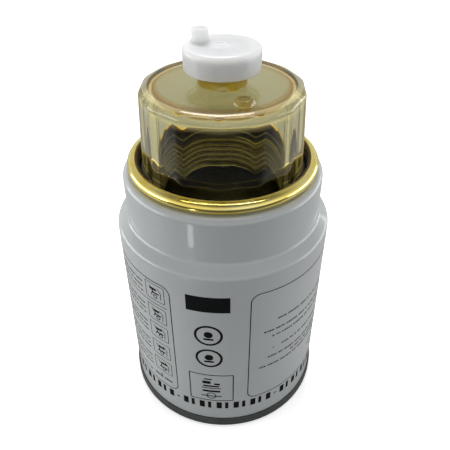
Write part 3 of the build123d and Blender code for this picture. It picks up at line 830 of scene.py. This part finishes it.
nearly_clear, deep_orange = (0.98, 0.98, 0.94), (0.86, 0.61, 0.21)
clear = tint(add, flow, ((0.3, (0.97, 0.97, 0.92)), (0.7, nearly_clear)), None)
# Painted light: a deep orange band is tinted into the skin of the rounded top edge, above the inner corner,
# for light carried along the plate.
painted_orange_band = ((-4.4, nearly_clear), (-3.4, deep_orange), (-1.2, deep_orange), (-0.4, nearly_clear))
amber_with_painted_light = between(add, above(inside_top + 0.6), clear, beyond_corner(*painted_orange_band))
# Painted shade: the drain's neck, the lug and the hex boss are tinted darker amber, for the shade under the
# drain cap.
amber_with_painted_light = between(add, above(bowl_top + 0.25), amber_with_painted_light, (0.60, 0.46, 0.17, 1))
# Painted shade: the plate's underside is tinted darker, and a dark band lies along the inside corner, under
# the glow that fills it.
rim_painted_shade = beyond_corner(
    (-5.5, (0.24, 0.235, 0.17)),
    (-3.5, (0.24, 0.20, 0.10)),
    (-2.4, (0.06, 0.05, 0.025)),
    (-1.2, (0.06, 0.05, 0.025)),
    (-0.8, (0.80, 0.79, 0.70)),
)
rim_glow = beyond_corner(
    (-6.0, (0.15, 0.138, 0.072)),
    (-4.5, (0.15, 0.13, 0.065)),
    (-3.0, (0.16, 0.13, 0.06)),
    (-2.4, (0.13, 0.075, 0.018)),
    (-1.9, (0.28, 0.16, 0.035)),
    (-1.4, (0.14, 0.08, 0.015)),
    (-1.0, (0.20, 0.14, 0.05)),
    (-0.7, (0, 0, 0)),
    (-0.1, (0, 0, 0)),
    (0.1, (0.26, 0.235, 0.14)),
    (2.0, (0.26, 0.235, 0.14)),
    (2.6, (0.06, 0.05, 0.02)),
)
outside = beyond_corner((-0.06, (0, 0, 0)), (-0.04, (1, 1, 1)))
under_plate = add("ShaderNodeMath", {0: 1.0, 1: above(inside_top + 0.5)}, operation="SUBTRACT")
either = add("ShaderNodeMath", {0: under_plate, 1: outside}, operation="MAXIMUM")
rim = times(either, above(inside_top - 4.0, 1.0))
between(add, rim, amber_with_painted_light, rim_painted_shade, "Base Color")
crest = by_reach(add, neck_root, (0.3, (0, 0, 0)), (thread_depth, (0.026, 0.024, 0.017)))
reflected = add("ShaderNodeFresnel", {"IOR": amber_index})
reflected = add("ShaderNodeMapRange", {"Value": reflected, "From Min": 0.6, "From Max": 0.98})
wall_glow = between(add, reflected, (0, 0, 0, 1), (0.06, 0.05, 0.024, 1))
glow = between(add, above(bowl_foot - 2.0), crest, wall_glow)
between(add, rim, glow, rim_glow, "Emission Color")
frost = beyond_corner((-1.52, (0.2, 0.2, 0.2)), (-1.5, (0, 0, 0)))
frosted = times(rim, frost)
add("ShaderNodeMath", {0: frosted, 1: 0.02}, "Roughness", operation="ADD")
amber_depth = add("ShaderNodeVolumeAbsorption", {"Color": (0.73, 0.68, 0.17, 1), "Density": 100.0})
amber.node_tree.links.new(amber_depth, amber.node_tree.nodes["Material Output"].inputs["Volume"])
bowl_faces = grid_faces(len(bowl_points), len(bowl_angles))
bowl_piece = mesh_object("clear_bowl", bowl_points, bowl_faces, amber)


def prism(name, outlines, bevel=0.0):
    """Stack outlines of (x, y, z) corners, alike in number, into a closed solid with softened edges."""
    outlines = np.array(outlines, float)
    rows, columns, _ = outlines.shape
    faces = grid_faces(rows, columns, False).tolist()
    faces += [list(range(columns))[::-1], list(range((rows - 1) * columns, rows * columns))]
    piece = mesh_object(name, outlines, faces)
    if bevel:
        softened = piece.modifiers.new("softened", "BEVEL")
        softened.width = bevel * mm
        softened.segments = 3
    return piece


def combine(piece, tools):
    """Add or cut solids exactly, apply what results to the piece, and throw the tools away."""
    for tool, operation in tools:
        step = piece.modifiers.new("step", "BOOLEAN")
        step.object, step.operation, step.solver = tool, operation, "EXACT"
    depsgraph = bpy.context.evaluated_depsgraph_get()
    piece.data = bpy.data.meshes.new_from_object(piece.evaluated_get(depsgraph))
    piece.modifiers.clear()
    for tool, _ in tools:
        bpy.data.objects.remove(tool)


def loop(middle, radius, level, angles):
    """Give the points of a level circle round an upright line, at some angles."""
    points = arc(*middle, radius, angles)
    return np.column_stack([points, np.full(len(angles), level)])


axis, hex_middle = (0, 0), (8.95, -23.4)
boss_rows = ((4.95, bowl_top - 0.5), (3.75, bowl_top + 2.1))
hex_boss = prism("hex_boss", [loop(hex_middle, r, z, spaced(6)) for r, z in boss_rows], 0.35)
recess_rows = ((1.2, bowl_top + 1.0), (1.75, bowl_top + 1.15), (1.9, bowl_top + 1.5), (2.3, bowl_top + 2.4))
hex_recess = prism("hex_recess", [loop(hex_middle, r, z, spaced(32)) for r, z in recess_rows])
lug_angles = np.radians(-90 + np.linspace(14.0, 36.0, 9))
lug_inner, lug_outer = drain_neck - 0.6, drain_neck + 1.3
lug_rows = [
    np.vstack([loop(axis, lug_inner, level, lug_angles[::-1]), loop(axis, lug_outer, level, lug_angles)])
    for level in (bowl_top - 0.4, bowl_top + 5.9)
]
lug = prism("lug", lug_rows, 0.3)
combine(bowl_piece, [(hex_boss, "UNION"), (lug, "UNION"), (hex_recess, "DIFFERENCE")])
settle(bowl_piece, "bowl", "amber_plastic", "bowl", sharp=35)

# The drain cap is one milky nylon moulding: a grip skirt, a sealing sleeve, a slotted spigot and an
# offset hose nipple. Its gate left a small ring with a nub on the top.
nylon, add = start_material(
    "milky_nylon",
    Roughness=0.32,
    Subsurface_Weight=1.0,
    Subsurface_Radius=(1.0, 0.95, 0.85),
    Subsurface_Scale=0.010,
    Coat_Weight=0.25,
    Coat_Roughness=0.12,
)
flow = noise(add, object_place(add), 60.0)
tint(add, flow, ((0.3, (0.875, 0.885, 0.87)), (0.7, (0.895, 0.905, 0.89))))
relief(add, noise(add, object_place(add), 500.0, 2.0), 0.03, 0.0003)


def dress(material, *names):
    """Give CAD nodes whose shape is right their finish."""
    for name in names:
        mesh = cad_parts[name].data
        mesh.materials.clear()
        mesh.materials.append(material)


dress(nylon, "drain_cap")
dress(rubber, "drain_seal", "centre_seal")

# Inside the can hangs the element: pleated paper between two dark-coated pressed end caps, bedded in
# plastisol, round a perforated tube and its water screen. A blued spring ring holds it off the shoulder.
cap_coat, add = start_material("dark_cap_coat", Roughness=0.5, Metallic=0.3)
coat = noise(add, object_place(add), 70.0)
tint(add, coat, ((0.3, (0.028, 0.031, 0.027)), (0.7, (0.042, 0.046, 0.040))))
dress(cap_coat, "head_end_cap")
cap_outer, _, dome_top = reach_of("bowl_end_cap")
cap_sheet, cap_rim = 0.6, 5.5
dome_radius, dome_rise = 27.0, 1.4
cap_top = dome_top - dome_rise
end_cap_section = rounded(
    [
        (0.01, dome_top - cap_sheet, 0),
        (dome_radius - 1.4, dome_top - cap_sheet, 0.8),
        (dome_radius - 0.3, cap_top - cap_sheet, 0.8),
        (cap_outer - cap_sheet, cap_top - cap_sheet, 0.4),
        (cap_outer - cap_sheet, cap_top - cap_rim, 0.1),
        (cap_outer, cap_top - cap_rim, 0.1),
        (cap_outer, cap_top, 1.0),
        (dome_radius + 0.3, cap_top, 0.8),
        (dome_radius - 0.8, dome_top, 0.8),
        (0.01, dome_top, 0),
    ]
)
settle(spun("pressed_end_cap", end_cap_section, cap_coat), "can", "cap_steel", "bowl_end_cap")

plastisol, add = start_material("plastisol", Roughness=0.6)
cure = noise(add, object_place(add), 90.0)
tint(add, cure, ((0.3, (0.30, 0.10, 0.045)), (0.7, (0.38, 0.14, 0.065))))
dress(plastisol, "head_potting", "bowl_potting")

paper, add = start_material("pleat_paper", Roughness=0.95)
grain = noise(add, object_place(add, (1, 1, 0.3)), 700.0, 6.0)
tint(add, grain, ((0.3, (0.50, 0.40, 0.24)), (0.7, (0.60, 0.50, 0.32))))
relief(add, grain, 0.3, 0.0003)
dress(paper, "filter_paper")

tinned, add = start_material("tinned_sheet", Metallic=1.0, Roughness=0.35)
rolled = noise(add, object_place(add, (1, 1, 12)), 120.0, 4.0)
tint(add, rolled, ((0.3, (0.52, 0.53, 0.52)), (0.7, (0.62, 0.63, 0.62))))
relief(add, rolled, 0.08, 0.0002)
dress(tinned, "centre_tube", "pleat_clip")

screen, add = start_material("water_screen", Roughness=0.8)
weave = add("ShaderNodeTexChecker", {"Vector": object_place(add), "Scale": 2500.0}).node.outputs["Fac"]
tint(add, weave, ((0.4, (0.55, 0.57, 0.56)), (0.6, (0.75, 0.77, 0.76))))
relief(add, weave, 0.4, 0.0002)
dress(screen, "separator_screen")

blued, add = start_material("blued_spring_steel", Metallic=1.0, Roughness=0.3)
heat = noise(add, object_place(add), 80.0)
tint(add, heat, ((0.3, (0.05, 0.06, 0.10)), (0.7, (0.10, 0.09, 0.11))))
dress(blued, "element_spring")

# The tapping plate is thick pressed steel with a phosphate coat. Its boss is drawn from the plate and
# threaded inside for the filter head, and eight inlet holes are punched round it.
phosphate, add = start_material("phosphate_steel", Metallic=0.8, Roughness=0.48)
crystal = noise(add, object_place(add), 800.0, 5.0)
tint(add, crystal, ((0.3, (0.20, 0.20, 0.19)), (0.7, (0.30, 0.30, 0.28))))
relief(add, crystal, 0.15, 0.0002)
plate_radius, plate_foot, boss_top = reach_of("tapping_plate")
plate_sheet, boss_wall = 4.0, 4.2
head_thread, head_pitch, head_depth = 11.8, 1.5, 0.85
plate_top, boss_outer = plate_foot + plate_sheet, head_thread + boss_wall
bore_levels = np.arange(boss_top - 1.0, plate_foot + 1.0, -head_pitch / 12)
plate_outline = np.concatenate(
    [
        [(head_thread + 1.0, plate_foot), (plate_radius - 0.4, plate_foot)],
        [(plate_radius, plate_foot + 0.4), (plate_radius, plate_top - 0.4)],
        [(plate_radius - 0.4, plate_top), (boss_outer + 1.8, plate_top)],
        [(boss_outer + 1.5, plate_top + 0.02), (boss_outer + 0.7, plate_top + 0.25)],
        [(boss_outer + 0.25, plate_top + 0.7), (boss_outer, plate_top + 1.5)],
        [(boss_outer, boss_top - 0.4), (boss_outer - 0.4, boss_top), (head_thread + 1.0, boss_top)],
        np.stack([np.full(len(bore_levels), head_thread), bore_levels], -1),
    ]
)
plate_levels = plate_outline[:, 1, None]
plate_thread = thread_rise(plate_levels, circle, plate_foot, boss_top, head_pitch, head_depth)
plate_points = threaded_bore(plate_outline, head_thread, head_thread + plate_thread)
plate_faces = grid_faces(len(plate_outline), around)
plate_piece = mesh_object("threaded_plate", plate_points, plate_faces, phosphate)
inlet_count, inlet_ring, inlet_radius = 8, 27.0, 3.6
inlet_rows = [(inlet_radius + 0.8, plate_foot - 0.4), (inlet_radius, plate_foot + 0.4)]
inlet_rows += [(inlet_radius, plate_top - 0.2), (inlet_radius + 0.4, plate_top + 0.2)]
punches = []
for inlet_middle in arc(*axis, inlet_ring, spaced(inlet_count)):
    rows = [loop(inlet_middle, r, z, spaced(40, 0.5)) for r, z in inlet_rows]
    punches.append((prism("punch", rows), "DIFFERENCE"))
combine(plate_piece, punches)
settle(plate_piece, "can", "plate_steel", "tapping_plate")
